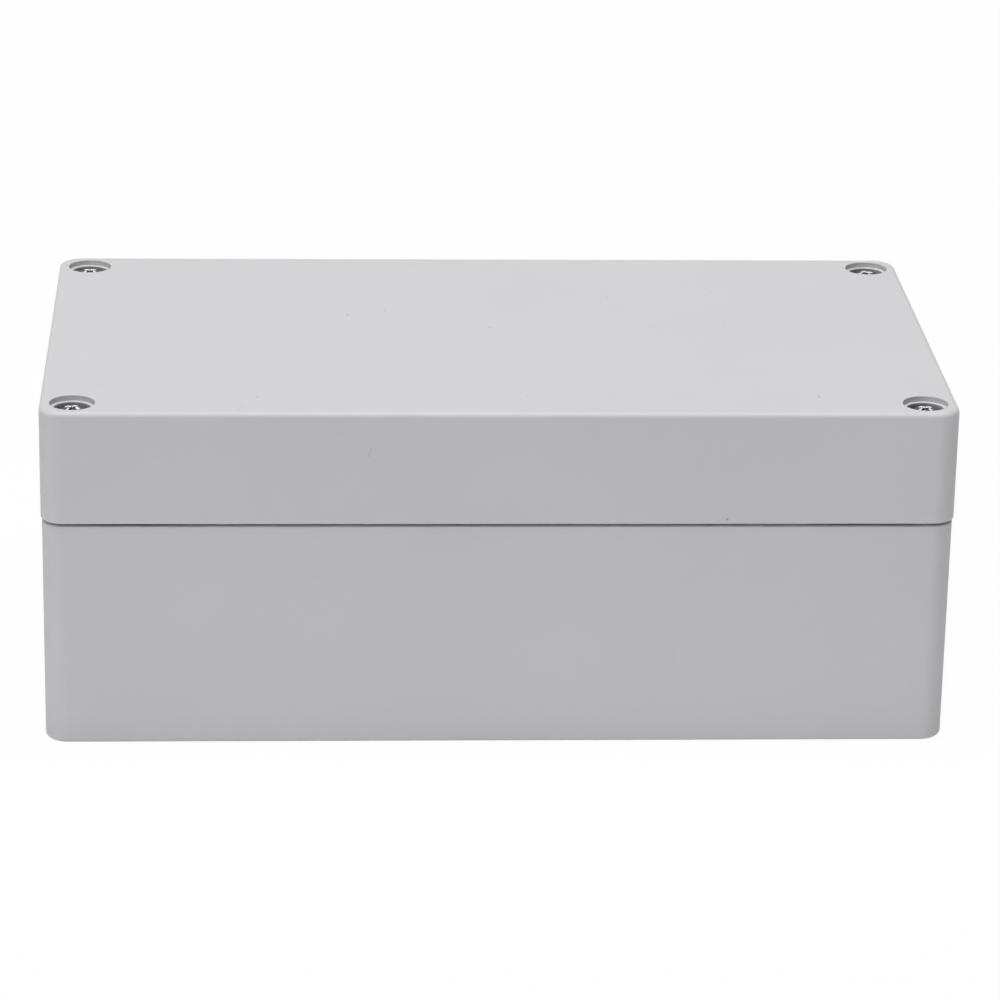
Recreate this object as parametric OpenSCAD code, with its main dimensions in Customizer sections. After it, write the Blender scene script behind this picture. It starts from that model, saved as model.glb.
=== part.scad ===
// Moulded project box: a base and a deep lid closed by four captive screws.
// X runs along the case, the front faces -Y, and Z is up from the underside.
// The seal runs round the case on one line, which steps inside the four corner
// pockets, so that the screws and the wall fixing holes stay outside of it.

/* [Case] */
// Length of the closed case, left to right
case_length = 158; // [130:1:240]
// Depth of the closed case, front to back
case_depth = 90; // [76:1:160]
// Height of the closed case
case_height = 61; // [46:1:110]
// Height of the lid, from its top down to the face that it stands on
lid_height = 20.6; // [18:0.1:32]
// Radius of the four upright corners
corner_radius = 4; // [3:0.1:5]
// How far the lid stands out past the base on every side
lid_overhang = 0.2; // [0.05:0.05:0.4]
// Height of the dark line between the lid's skirt and the base's rim
seam_gap = 0.45; // [0.2:0.05:0.8]

/* [Walls] */
// Thickness of the base's floor
floor_thickness = 3; // [2:0.1:5]
// Thickness of the lid's top
top_thickness = 3; // [2:0.1:5]
// Thickness of the outer wall beside a corner pocket, from the lid's side
pocket_wall = 2.6; // [2:0.1:3]
// Rounding of the lid's top edge
top_edge_radius = 0.9; // [0.4:0.1:2]
// Rounding of the base's bottom edge
bottom_edge_radius = 0.9; // [0.3:0.1:1.5]
// Rounding of the two edges that face each other across the seam
seam_edge_radius = 0.3; // [0.1:0.05:0.5]

/* [Sealed rim] */
// Lip of the lid outside the gasket groove
groove_lip = 1.1; // [0.8:0.05:1.4]
// Width of the gasket groove
groove_width = 1.4; // [1.2:0.05:1.8]
// Rib of the lid inside the gasket groove
groove_rib = 0.9; // [0.7:0.05:1.4]
// Gap on each side of the tongue in its groove
tongue_clearance = 0.2; // [0.1:0.05:0.3]
// Height of the tongue over the base's rim
tongue_height = 2; // [1:0.1:3]
// Shoulder of the base's rim outside the tongue
outer_shoulder = 0.5; // [0.3:0.05:0.8]
// Shoulder of the base's rim inside the tongue
inner_shoulder = 0.5; // [0.3:0.05:0.8]
// Height of the gasket, from the tongue to the bottom of the groove
gasket_height = 2; // [1:0.1:3]
// Gap between the gasket and the sides of its groove
gasket_clearance = 0.05; // [0.02:0.01:0.1]
// Radius at which the seal line turns inward
seal_turn_radius = 4.5; // [4:0.1:7]
// Radius at which the seal line turns round a pocket's inner corner
seal_step_radius = 0.8; // [0.4:0.1:2]

/* [Corner pockets] */
// Reach of a pocket, from the lid's side to the pocket's far end
pocket_reach = 22.6; // [21:0.1:30]
// Diameter of the screw columns and of the pillars below them
column_diameter = 8.8; // [8.4:0.1:9.4]
// Plastic left between a column and the gasket groove beside it
column_margin = 0.05; // [0.02:0.01:0.5]

/* [Wall fixing holes] */
// Diameter of a wall fixing hole
wall_hole_diameter = 4.2; // [3:0.1:5]
// From the lid's left or right side to a fixing hole
wall_hole_inset_x = 16.5; // [15:0.1:18]
// From the lid's front or back to a fixing hole
wall_hole_inset_y = 6; // [5.6:0.1:6.6]

/* [Lid screws] */
// From the lid's two nearest sides to a screw
screw_inset = 5.65; // [5.5:0.05:6.2]
// Diameter of the threaded shank, over its crests
shank_diameter = 2.9; // [2.4:0.1:3.1]
// Thread pitch
thread_pitch = 0.5; // [0.4:0.05:0.7]
// Shank that stands out below the threaded insert
tip_length = 1.75; // [1:0.05:4]
// Chamfer at the end of the shank
tip_chamfer = 0.4; // [0.1:0.05:0.6]
// Diameter of the pan head
head_diameter = 6; // [5.2:0.1:6.2]
// Height of the pan head
head_height = 2.4; // [1.8:0.1:2.6]
// Radius of the crown of the pan head
crown_radius = 7; // [4:0.1:9]
// Width of the cross recess over its wings
cross_width = 2.7; // [2:0.1:3.2]
// Thickness of one wing of the cross recess
cross_wing = 0.62; // [0.4:0.02:0.9]
// Depth of the cross recess
cross_depth = 1.5; // [0.8:0.1:1.7]

/* [Screw wells] */
// Diameter of the shallow recess round a well
recess_diameter = 7.8; // [7.4:0.1:8]
// Depth of the shallow recess
recess_depth = 1; // [0.5:0.1:1.6]
// Rounding of the recess's upper edge
recess_edge_radius = 0.15; // [0.1:0.05:0.5]
// Rounding of the well's upper edge
well_edge_radius = 0.15; // [0.05:0.05:0.3]
// Gap between the screw head and the wall of its well
head_clearance = 0.3; // [0.2:0.02:0.4]
// How far the head's crown lies below the lid's top
head_sink = 0.8; // [0.5:0.05:1.8]
// Plastic under the screw head
web_thickness = 3; // [2:0.1:3.4]
// Gap between the shank and the holes that it passes freely
shank_clearance = 0.25; // [0.15:0.05:0.4]

/* [Inserts and retaining washers] */
// Diameter of a threaded insert
insert_diameter = 4.4; // [4.2:0.1:5]
// Length of a threaded insert
insert_length = 6; // [4:0.1:7]
// Width of the ring groove round an insert's middle
insert_waist = 1.2; // [0.6:0.1:2]
// Depth of that ring groove
insert_waist_depth = 0.25; // [0.1:0.05:0.4]
// Gap between an insert and the pillar that holds it
insert_clearance = 0.02; // [0.01:0.01:0.05]
// Gap between the shank and a threaded hole that it runs in
thread_clearance = 0.05; // [0.02:0.01:0.08]
// Thickness of the washer that keeps a screw in the lid
washer_thickness = 1; // [0.6:0.1:1.2]
// Gap between the washer and the bore that it slides in
washer_clearance = 0.25; // [0.2:0.05:0.35]
// Wall between the washer's bore and the column's outside
washer_bore_wall = 1.1; // [0.9:0.05:1.2]

/* [Board posts] */
// Diameter of a circuit board post
post_diameter = 6; // [5:0.1:8]
// Diameter of the screw hole in a post
post_hole_diameter = 2.5; // [2:0.1:3.2]
// Chamfer round the free end of a post
post_chamfer = 0.4; // [0.1:0.1:0.8]
// Height of the base's posts over the floor
base_post_height = 5; // [3:0.5:15]
// Height of the lid's posts below the top
lid_post_height = 4; // [2:0.5:8]
// From the lid's left or right side to the outer posts
post_inset_x = 19; // [12:0.5:22]
// From the lid's front or back to the base's posts
base_post_inset_y = 17; // [16:0.5:24]
// From the lid's front or back to the lid's posts
lid_post_inset_y = 21; // [17:0.5:24]
// Distance between the base's inner posts, left to right
inner_post_spacing = 40; // [20:1:60]

/* [Hidden] */

$fn = 64;

SHELL_GREY = [0.80, 0.81, 0.83];
STEEL = [0.70, 0.69, 0.66];
BRASS = [0.78, 0.62, 0.30];
NYLON = [0.93, 0.92, 0.88];
GASKET_BLACK = [0.12, 0.12, 0.13];

// Signs of the four corners, as seen from the front
FRONT_LEFT = [-1, -1];
FRONT_RIGHT = [1, -1];
BACK_LEFT = [-1, 1];
BACK_RIGHT = [1, 1];
CORNERS = [FRONT_LEFT, FRONT_RIGHT, BACK_LEFT, BACK_RIGHT];

// How far a cutter runs past the face that it opens
CUT = 1;
// How far a joined piece runs into the wall that it grows from
ROOT = 0.5;

half_length = case_length / 2;
half_depth = case_depth / 2;

// Heights
base_top = case_height - lid_height;
skirt_bottom = base_top + seam_gap;
lid_ceiling = case_height - top_thickness;
tongue_top = base_top + tongue_height;
groove_top = tongue_top + gasket_height;
recess_ledge = case_height - recess_depth;
head_seat = case_height - head_sink - head_height;
web_bottom = head_seat - web_thickness;

// Distances of the rim's faces from the seal line, inward
groove_inner = groove_lip + groove_width;
lid_wall = groove_inner + groove_rib;
tongue_outer = groove_lip + tongue_clearance;
tongue_inner = groove_inner - tongue_clearance;
base_pocket_face = tongue_outer - outer_shoulder;
base_wall = tongue_inner + inner_shoulder;

// Screw columns, and where the seal line steps inside them
column_radius = column_diameter / 2;
screw_x = half_length - screw_inset;
screw_y = half_depth - screw_inset;
step_x = half_length - pocket_reach + base_pocket_face;
step_y = screw_y - column_radius - column_margin + groove_lip;

// Screws: threaded through the insert, and free of it after whole turns
shank_radius = shank_diameter / 2;
shank_length = head_seat - base_top + insert_length + tip_length;
screw_turns = ceil((insert_length + tip_length) / thread_pitch) + 1;
screw_travel = screw_turns * thread_pitch;
screw_tip = head_seat - shank_length;

// Washer, one screw travel below the web that stops it
washer_bore_radius = column_radius - washer_bore_wall;
washer_bottom = web_bottom - screw_travel - washer_thickness;

// Wall fixing holes and board posts
wall_hole_x = half_length - wall_hole_inset_x;
wall_hole_y = half_depth - wall_hole_inset_y;
outer_post_x = half_length - post_inset_x;
base_post_y = half_depth - base_post_inset_y;
lid_post_y = half_depth - lid_post_inset_y;
base_post_sites = [
    for (x = [outer_post_x, inner_post_spacing / 2])
        for (corner = CORNERS)
            [corner[0] * x, corner[1] * base_post_y]
];
lid_post_sites = [for (corner = CORNERS) [corner[0] * outer_post_x, corner[1] * lid_post_y]];

// --- Outlines ---------------------------------------------------------------

// What is cut away to round a corner that points to +X and +Y
module corner_waste(radius) {
    difference() {
        square(radius + CUT);
        circle(radius);
    }
}

// Rectangle round the origin with its four corners rounded
module rounded_rectangle(size_x, size_y, radius) {
    difference() {
        square([size_x, size_y], center = true);
        for (corner = CORNERS)
            translate([corner[0] * (size_x / 2 - radius), corner[1] * (size_y / 2 - radius)])
                mirror([corner[0] < 0 ? 1 : 0, 0])
                    mirror([0, corner[1] < 0 ? 1 : 0])
                        corner_waste(radius);
    }
}

// Everything within the seal line, moved inward by the given distance
module seal_outline(inward) {
    turn = seal_turn_radius - inward;
    step = seal_step_radius + inward;
    fillet_x = step_x - inward;
    fillet_y = step_y - inward;
    rounded_rectangle(2 * (half_length - inward), 2 * fillet_y, turn);
    rounded_rectangle(2 * fillet_x, 2 * (half_depth - inward), turn);
    for (corner = CORNERS)
        translate([corner[0] * fillet_x, corner[1] * fillet_y])
            mirror([corner[0] < 0 ? 1 : 0, 0])
                mirror([0, corner[1] < 0 ? 1 : 0])
                    difference() {
                        translate([-ROOT, -ROOT])
                            square(step + ROOT);
                        translate([step, step])
                            circle(step);
                    }
}

// Band along the seal line, between two distances from it
module seal_band(outer, inner) {
    difference() {
        seal_outline(outer);
        seal_outline(inner);
    }
}

// One corner pocket, open between the outer wall, the seal wall and the column
module pocket_outline(seal_face) {
    near_x = step_x - seal_face;
    near_y = step_y - seal_face;
    far_y = half_depth - pocket_wall;
    radius = seal_step_radius + seal_face;
    difference() {
        translate([(near_x + screw_x) / 2, (near_y + far_y) / 2])
            rounded_rectangle(screw_x - near_x, far_y - near_y, radius);
        translate([screw_x, screw_y])
            circle(column_radius);
    }
}

// Upright section of a wall's edge, rounded at the bottom and at the top
module edge_section(reach, bottom, top, bottom_radius, top_radius) {
    difference() {
        translate([0, bottom])
            square([reach, top - bottom]);
        translate([reach - top_radius, top - top_radius])
            corner_waste(top_radius);
        translate([reach - bottom_radius, bottom + bottom_radius])
            mirror([0, 1])
                corner_waste(bottom_radius);
    }
}

// Half section of a round hole whose upper edge is rounded
module flared_section(radius, bottom, top, edge_radius) {
    translate([0, bottom])
        square([radius, top - bottom + CUT / 2]);
    difference() {
        translate([0, top - edge_radius])
            square([radius + edge_radius, edge_radius + CUT / 2]);
        translate([radius + edge_radius, top - edge_radius])
            circle(edge_radius);
    }
}

// --- Solids -----------------------------------------------------------------

// Block with round upright corners and rounded top and bottom edges
module rounded_block(size_x, size_y, bottom, top, bottom_radius, top_radius) {
    core_x = size_x - 2 * corner_radius;
    core_y = size_y - 2 * corner_radius;
    translate([-core_x / 2, -core_y / 2, bottom])
        cube([core_x, core_y, top - bottom]);
    for (turn = [0, 180])
        rotate([0, 0, turn]) {
            translate([-core_x / 2, core_y / 2, 0])
                rotate([90, 0, 90])
                    linear_extrude(core_x)
                        edge_section(corner_radius, bottom, top, bottom_radius, top_radius);
            translate([core_x / 2, core_y / 2, 0])
                rotate([90, 0, 0])
                    linear_extrude(core_y)
                        edge_section(corner_radius, bottom, top, bottom_radius, top_radius);
            translate([core_x / 2, core_y / 2, 0])
                rotate_extrude(angle = 90)
                    edge_section(corner_radius, bottom, top, bottom_radius, top_radius);
            translate([-core_x / 2, core_y / 2, 0])
                rotate([0, 0, 90])
                    rotate_extrude(angle = 90)
                        edge_section(corner_radius, bottom, top, bottom_radius, top_radius);
        }
}

// Board post that stands on Z = 0 with its root below, chamfered at its free end
module board_post(height) {
    radius = post_diameter / 2;
    rotate_extrude()
        polygon([
            [0, -ROOT],
            [radius, -ROOT],
            [radius, height - post_chamfer],
            [radius - post_chamfer, height],
            [0, height]
        ]);
}

// The four corner pockets, from one height to another
module pockets(seal_face, bottom, top) {
    for (corner = CORNERS)
        mirror([corner[0] < 0 ? 1 : 0, 0, 0])
            mirror([0, corner[1] < 0 ? 1 : 0, 0])
                translate([0, 0, bottom])
                    linear_extrude(top - bottom)
                        pocket_outline(seal_face);
}

// Moves its children to the screw axis of one corner
module at_screw(corner) {
    translate([corner[0] * screw_x, corner[1] * screw_y, 0])
        children();
}

// Recess, well, web hole and washer bore, cut from the lid in one revolve
module screw_well() {
    recess_radius = recess_diameter / 2;
    well_radius = head_diameter / 2 + head_clearance;
    rotate_extrude() {
        flared_section(recess_radius, recess_ledge, case_height, recess_edge_radius);
        flared_section(well_radius, head_seat, recess_ledge, well_edge_radius);
        translate([0, web_bottom - CUT])
            square([shank_radius + shank_clearance, web_thickness + 2 * CUT]);
        translate([0, base_top - CUT])
            square([washer_bore_radius, web_bottom - base_top + CUT]);
    }
}

// Blind hole in a base pillar: the insert's seat, and room below for the tip
module insert_bore() {
    rotate_extrude() {
        translate([0, base_top - insert_length])
            square([insert_diameter / 2 + insert_clearance, insert_length + CUT]);
        translate([0, screw_tip - CUT])
            square([shank_radius + shank_clearance, base_top - screw_tip + CUT]);
    }
}

// Cross recess of a screw head, as wings that narrow towards a point
module cross_recess() {
    intersection() {
        union() {
            for (turn = [0, 90])
                rotate([0, 0, turn])
                    translate([-cross_width, -cross_wing / 2, -cross_depth])
                        cube([2 * cross_width, cross_wing, cross_depth + CUT]);
            translate([0, 0, -cross_depth])
                cylinder(h = cross_depth + CUT, r = cross_wing);
        }
        translate([0, 0, -cross_depth])
            cylinder(h = cross_depth, r1 = cross_wing / 2, r2 = cross_width / 2);
    }
}

// --- Pieces -----------------------------------------------------------------

// Base: floor, walls, corner pockets with pillars, sealing tongue and board posts
module base() {
    base_length = case_length - 2 * lid_overhang;
    base_depth = case_depth - 2 * lid_overhang;
    color(SHELL_GREY)
        difference() {
            union() {
                difference() {
                    rounded_block(base_length, base_depth, 0, base_top, bottom_edge_radius, seam_edge_radius);
                    translate([0, 0, floor_thickness])
                        linear_extrude(base_top - floor_thickness + CUT)
                            seal_outline(base_wall);
                    pockets(base_pocket_face, floor_thickness, base_top + CUT);
                }
                translate([0, 0, base_top - ROOT])
                    linear_extrude(tongue_height + ROOT)
                        seal_band(tongue_outer, tongue_inner);
                for (site = base_post_sites)
                    translate([site[0], site[1], floor_thickness])
                        board_post(base_post_height);
            }
            for (corner = CORNERS) {
                at_screw(corner)
                    insert_bore();
                translate([corner[0] * wall_hole_x, corner[1] * wall_hole_y, -CUT])
                    cylinder(h = floor_thickness + 2 * CUT, d = wall_hole_diameter);
            }
            for (site = base_post_sites)
                translate([site[0], site[1], floor_thickness])
                    cylinder(h = base_post_height + CUT, d = post_hole_diameter);
        }
}

// Lid: top, skirt, gasket groove, corner pockets with screw columns, and posts
module lid() {
    color(SHELL_GREY)
        difference() {
            union() {
                difference() {
                    rounded_block(case_length, case_depth, skirt_bottom, case_height, seam_edge_radius, top_edge_radius);
                    translate([0, 0, base_top])
                        linear_extrude(lid_ceiling - base_top)
                            seal_outline(lid_wall);
                    pockets(0, base_top, lid_ceiling);
                }
                for (corner = CORNERS)
                    at_screw(corner)
                        translate([0, 0, base_top])
                            cylinder(h = seam_gap + ROOT, r = column_radius);
                for (site = lid_post_sites)
                    translate([site[0], site[1], lid_ceiling])
                        mirror([0, 0, 1])
                            board_post(lid_post_height);
            }
            translate([0, 0, base_top])
                linear_extrude(groove_top - base_top)
                    seal_band(groove_lip, groove_inner);
            for (corner = CORNERS)
                at_screw(corner)
                    screw_well();
            for (site = lid_post_sites)
                translate([site[0], site[1], lid_ceiling - lid_post_height - CUT])
                    cylinder(h = lid_post_height + CUT, d = post_hole_diameter);
        }
}

// Gasket: one closed loop that fills the top of the lid's groove
module gasket() {
    color(GASKET_BLACK)
        translate([0, 0, tongue_top])
            linear_extrude(gasket_height)
                seal_band(groove_lip + gasket_clearance, groove_inner - gasket_clearance);
}

// Threaded insert, flush with the top of its pillar, with a ring groove
module threaded_insert(corner) {
    outer = insert_diameter / 2;
    bore = shank_radius + thread_clearance;
    color(BRASS)
        at_screw(corner)
            translate([0, 0, base_top - insert_length])
                rotate_extrude()
                    difference() {
                        translate([bore, 0])
                            square([outer - bore, insert_length]);
                        translate([outer - insert_waist_depth, (insert_length - insert_waist) / 2])
                            square([insert_waist_depth + CUT, insert_waist]);
                    }
}

// Washer that rides on the thread inside the lid's column and keeps the screw
module retaining_washer(corner) {
    bore = shank_radius + thread_clearance;
    color(NYLON)
        at_screw(corner)
            translate([0, 0, washer_bottom])
                rotate_extrude()
                    translate([bore, 0])
                        square([washer_bore_radius - washer_clearance - bore, washer_thickness]);
}

// Lid screw: shank with a chamfered end, and a crowned pan head with a cross recess
module lid_screw(corner) {
    color(STEEL)
        at_screw(corner)
            difference() {
                translate([0, 0, screw_tip])
                    rotate_extrude() {
                        polygon([
                            [0, 0],
                            [shank_radius - tip_chamfer, 0],
                            [shank_radius, tip_chamfer],
                            [shank_radius, shank_length + ROOT],
                            [0, shank_length + ROOT]
                        ]);
                        intersection() {
                            translate([0, shank_length])
                                square([head_diameter / 2, head_height]);
                            translate([0, shank_length + head_height - crown_radius])
                                circle(crown_radius);
                        }
                    }
                translate([0, 0, head_seat + head_height])
                    cross_recess();
            }
}

base();
lid();
gasket();
threaded_insert(FRONT_LEFT);  // threaded_insert_front_left
threaded_insert(FRONT_RIGHT);  // threaded_insert_front_right
threaded_insert(BACK_LEFT);  // threaded_insert_back_left
threaded_insert(BACK_RIGHT);  // threaded_insert_back_right
retaining_washer(FRONT_LEFT);  // retaining_washer_front_left
retaining_washer(FRONT_RIGHT);  // retaining_washer_front_right
retaining_washer(BACK_LEFT);  // retaining_washer_back_left
retaining_washer(BACK_RIGHT);  // retaining_washer_back_right
lid_screw(FRONT_LEFT);  // lid_screw_front_left
lid_screw(FRONT_RIGHT);  // lid_screw_front_right
lid_screw(BACK_LEFT);  // lid_screw_back_left
lid_screw(BACK_RIGHT);  // lid_screw_back_right
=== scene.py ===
"""Dresses a moulded project box: its shell, sealed rim, captive lid screws and a plain studio.

All sizes are in metres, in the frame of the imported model: +X to the right, the
front faces -Y, and +Z is up from the underside.
"""

import logging
import math
from dataclasses import dataclass, field
from enum import Enum
from typing import Callable, Sequence

import bpy
from mathutils import Matrix, Vector

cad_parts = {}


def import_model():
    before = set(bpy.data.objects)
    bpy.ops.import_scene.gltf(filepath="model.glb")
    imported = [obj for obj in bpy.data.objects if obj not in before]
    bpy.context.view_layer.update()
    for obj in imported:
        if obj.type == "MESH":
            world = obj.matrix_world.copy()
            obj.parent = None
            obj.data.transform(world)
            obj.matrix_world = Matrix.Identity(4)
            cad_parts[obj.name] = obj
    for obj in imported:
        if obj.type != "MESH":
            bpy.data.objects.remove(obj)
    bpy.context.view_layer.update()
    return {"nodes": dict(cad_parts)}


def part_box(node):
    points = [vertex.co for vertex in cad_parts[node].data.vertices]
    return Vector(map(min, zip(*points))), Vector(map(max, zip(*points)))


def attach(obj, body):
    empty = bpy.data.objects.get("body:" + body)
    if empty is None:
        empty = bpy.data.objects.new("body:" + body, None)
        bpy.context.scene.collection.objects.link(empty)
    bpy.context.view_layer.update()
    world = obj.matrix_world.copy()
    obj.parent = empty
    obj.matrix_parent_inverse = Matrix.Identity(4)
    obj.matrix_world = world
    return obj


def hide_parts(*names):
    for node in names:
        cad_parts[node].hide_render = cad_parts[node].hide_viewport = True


LOG = logging.getLogger("project_box")

MM = 0.001
WELD = 0.001 * MM
TRIM_SLACK = 0.0001 * MM
FLAT_DEGREES = 0.4
WHITE = (1.0, 1.0, 1.0, 1.0)
CLOUD_SPAN = (0.3, 0.7)

Colour = tuple[float, float, float, float]
Span = tuple[float, float]


class Corner(Enum):
    """The four corners of the case, by the end of their nodes' names."""

    FRONT_LEFT = "front_left"
    FRONT_RIGHT = "front_right"
    BACK_LEFT = "back_left"
    BACK_RIGHT = "back_right"


class Slot(Enum):
    """The record's material slots."""

    SHELL = "shell"
    GASKET = "gasket"
    INSERT = "insert"
    WASHER = "washer"
    SCREW = "screw"


# --- Modelling bench ----------------------------------------------------------


class Bench:
    """The hand operations of modelling that every piece needs."""

    @staticmethod
    def clear() -> None:
        """Leave object mode's selection empty."""
        if bpy.context.object and bpy.context.object.mode != "OBJECT":
            bpy.ops.object.mode_set(mode="OBJECT")
        bpy.ops.object.select_all(action="DESELECT")

    @staticmethod
    def take(piece: bpy.types.Object) -> bpy.types.Object:
        """Select one object alone and make it the active one.

        Args:
            piece: The object to work on.

        Returns:
            The same object.
        """
        Bench.clear()
        piece.select_set(True)
        bpy.context.view_layer.objects.active = piece
        return piece

    @staticmethod
    def open(piece: bpy.types.Object) -> None:
        """Go into edit mode on one object, with all of it selected.

        Args:
            piece: The object to edit.
        """
        Bench.take(piece)
        bpy.ops.object.mode_set(mode="EDIT")
        bpy.ops.mesh.select_all(action="SELECT")

    @staticmethod
    def close() -> None:
        """Leave edit mode."""
        bpy.ops.object.mode_set(mode="OBJECT")

    @staticmethod
    def pick(piece: bpy.types.Object, wanted: Callable[[Vector], bool]) -> None:
        """Select the vertices whose place passes a test, and stay in edit mode.

        Args:
            piece: The object, already in edit mode.
            wanted: Says of a place whether its vertex is selected.
        """
        bpy.ops.mesh.select_mode(type="VERT")
        bpy.ops.mesh.select_all(action="DESELECT")
        bpy.ops.object.mode_set(mode="OBJECT")
        for vertex in piece.data.vertices:
            vertex.select = wanted(vertex.co)
        bpy.ops.object.mode_set(mode="EDIT")

    @staticmethod
    def outline(name: str, points: Sequence[tuple[float, float]]) -> bpy.types.Object:
        """Draw a line in the XZ plane, one extruded vertex after another.

        Args:
            name: Name of the new object.
            points: (x, z) of each point, in order.

        Returns:
            An object that holds only the line.
        """
        Bench.clear()
        bpy.ops.mesh.primitive_plane_add(size=1.0, location=(points[0][0], 0.0, points[0][1]))
        piece = bpy.context.object
        piece.name = name
        Bench.settle(piece)
        Bench.open(piece)
        bpy.ops.mesh.merge(type="CENTER")
        for (x0, z0), (x1, z1) in zip(points, points[1:]):
            bpy.ops.mesh.extrude_region_move(TRANSFORM_OT_translate={"value": (x1 - x0, 0.0, z1 - z0)})
        Bench.close()
        return piece

    @staticmethod
    def revolve(piece: bpy.types.Object, steps: int) -> None:
        """Spin a line a full turn about the Z axis and close its poles.

        Args:
            piece: The object that holds the line.
            steps: Number of faces round the turn.
        """
        Bench.open(piece)
        bpy.ops.mesh.spin(steps=steps, angle=math.tau, center=(0.0, 0.0, 0.0), axis=(0.0, 0.0, 1.0))
        bpy.ops.mesh.select_all(action="SELECT")
        Bench.seal()

    @staticmethod
    def seal() -> None:
        """Weld the mesh that is being edited, turn its faces outward, and leave edit mode."""
        bpy.ops.mesh.remove_doubles(threshold=WELD)
        bpy.ops.mesh.normals_make_consistent(inside=False)
        Bench.close()

    @staticmethod
    def settle(piece: bpy.types.Object) -> None:
        """Move an object's place into its mesh, so that the object sits at the origin."""
        Bench.take(piece)
        bpy.ops.object.transform_apply(location=True, rotation=True, scale=True)

    @staticmethod
    def modify(piece: bpy.types.Object, kind: str, **values: object) -> None:
        """Add one modifier with the given values and apply it.

        Args:
            piece: The object to change.
            kind: The modifier's type.
            values: Its settings by name.
        """
        Bench.take(piece)
        modifier = piece.modifiers.new(kind.lower(), kind)
        for key, value in values.items():
            setattr(modifier, key, value)
        bpy.ops.object.modifier_apply(modifier=modifier.name)

    @staticmethod
    def cut(piece: bpy.types.Object, cutter: bpy.types.Object, how: str = "DIFFERENCE") -> None:
        """Combine a closed piece with a closed cutter, and drop the cutter.

        Args:
            piece: The object to change.
            cutter: The object that cuts or joins it.
            how: DIFFERENCE, UNION or INTERSECT.
        """
        Bench.modify(piece, "BOOLEAN", object=cutter, operation=how, solver="EXACT")
        bpy.data.objects.remove(cutter)

    @staticmethod
    def trim(piece: bpy.types.Object, height: float, keep_above: bool) -> None:
        """Cut a closed piece flat at a height and close the cut.

        Args:
            piece: The object to trim.
            height: Z of the cut.
            keep_above: Whether the part above the cut stays.
        """
        Bench.open(piece)
        bpy.ops.mesh.bisect(
            plane_co=(0.0, 0.0, height),
            plane_no=(0.0, 0.0, 1.0),
            threshold=TRIM_SLACK,
            use_fill=True,
            clear_inner=keep_above,
            clear_outer=not keep_above,
        )
        Bench.close()

    @staticmethod
    def soften(piece: bpy.types.Object, width: float, steps: int, sharpest: float, **values: object) -> None:
        """Round the edges that are sharper than an angle.

        Args:
            piece: The object to change.
            width: Width of the rounding.
            steps: Number of faces across it.
            sharpest: Angle in degrees from which an edge is rounded.
            values: More settings of the bevel, by name.
        """
        Bench.modify(
            piece,
            "BEVEL",
            width=width,
            segments=steps,
            limit_method="ANGLE",
            angle_limit=math.radians(sharpest),
            use_clamp_overlap=True,
            **values,
        )

    @staticmethod
    def join(parts: Sequence[bpy.types.Object], name: str) -> bpy.types.Object:
        """Join several objects into the first one.

        Args:
            parts: The objects to join.
            name: Name of the joined object.

        Returns:
            The joined object.
        """
        Bench.clear()
        for part in parts:
            part.select_set(True)
        bpy.context.view_layer.objects.active = parts[0]
        bpy.ops.object.join()
        parts[0].name = name
        return parts[0]

    @staticmethod
    def twin(piece: bpy.types.Object, name: str, place: Matrix) -> bpy.types.Object:
        """Copy a piece with a mesh of its own and set it at its place.

        Args:
            piece: The model piece.
            name: Name of the copy.
            place: Where the copy goes; it is moved into the mesh.

        Returns:
            The copy, which sits at the origin.
        """
        copy = bpy.data.objects.new(name, piece.data.copy())
        bpy.context.scene.collection.objects.link(copy)
        copy.data.transform(place)
        return copy

    @staticmethod
    def merged_twin(solid: bpy.types.Object, name: str) -> bpy.types.Object:
        """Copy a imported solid, with its triangles merged into whole faces.

        Args:
            solid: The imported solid.
            name: Name of the copy.

        Returns:
            The copy, which sits at the origin.
        """
        copy = Bench.twin(solid, name, Matrix.Identity(4))
        Bench.open(copy)
        bpy.ops.mesh.remove_doubles(threshold=WELD)
        bpy.ops.mesh.dissolve_limited(angle_limit=math.radians(FLAT_DEGREES))
        Bench.close()
        return copy

    @staticmethod
    def coat(piece: bpy.types.Object, materials: Sequence[bpy.types.Material], choice: int = 0) -> None:
        """Give a piece several materials, and one of them to all its faces.

        Args:
            piece: The object to coat.
            materials: The materials, in slot order.
            choice: Slot that every face takes.
        """
        piece.data.materials.clear()
        for material in materials:
            piece.data.materials.append(material)
        for face in piece.data.polygons:
            face.material_index = choice

    @staticmethod
    def smooth(piece: bpy.types.Object, degrees: float) -> None:
        """Shade a piece smooth across edges flatter than an angle."""
        Bench.take(piece)
        bpy.ops.object.shade_smooth_by_angle(angle=math.radians(degrees))


# --- Shader bench -------------------------------------------------------------


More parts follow.
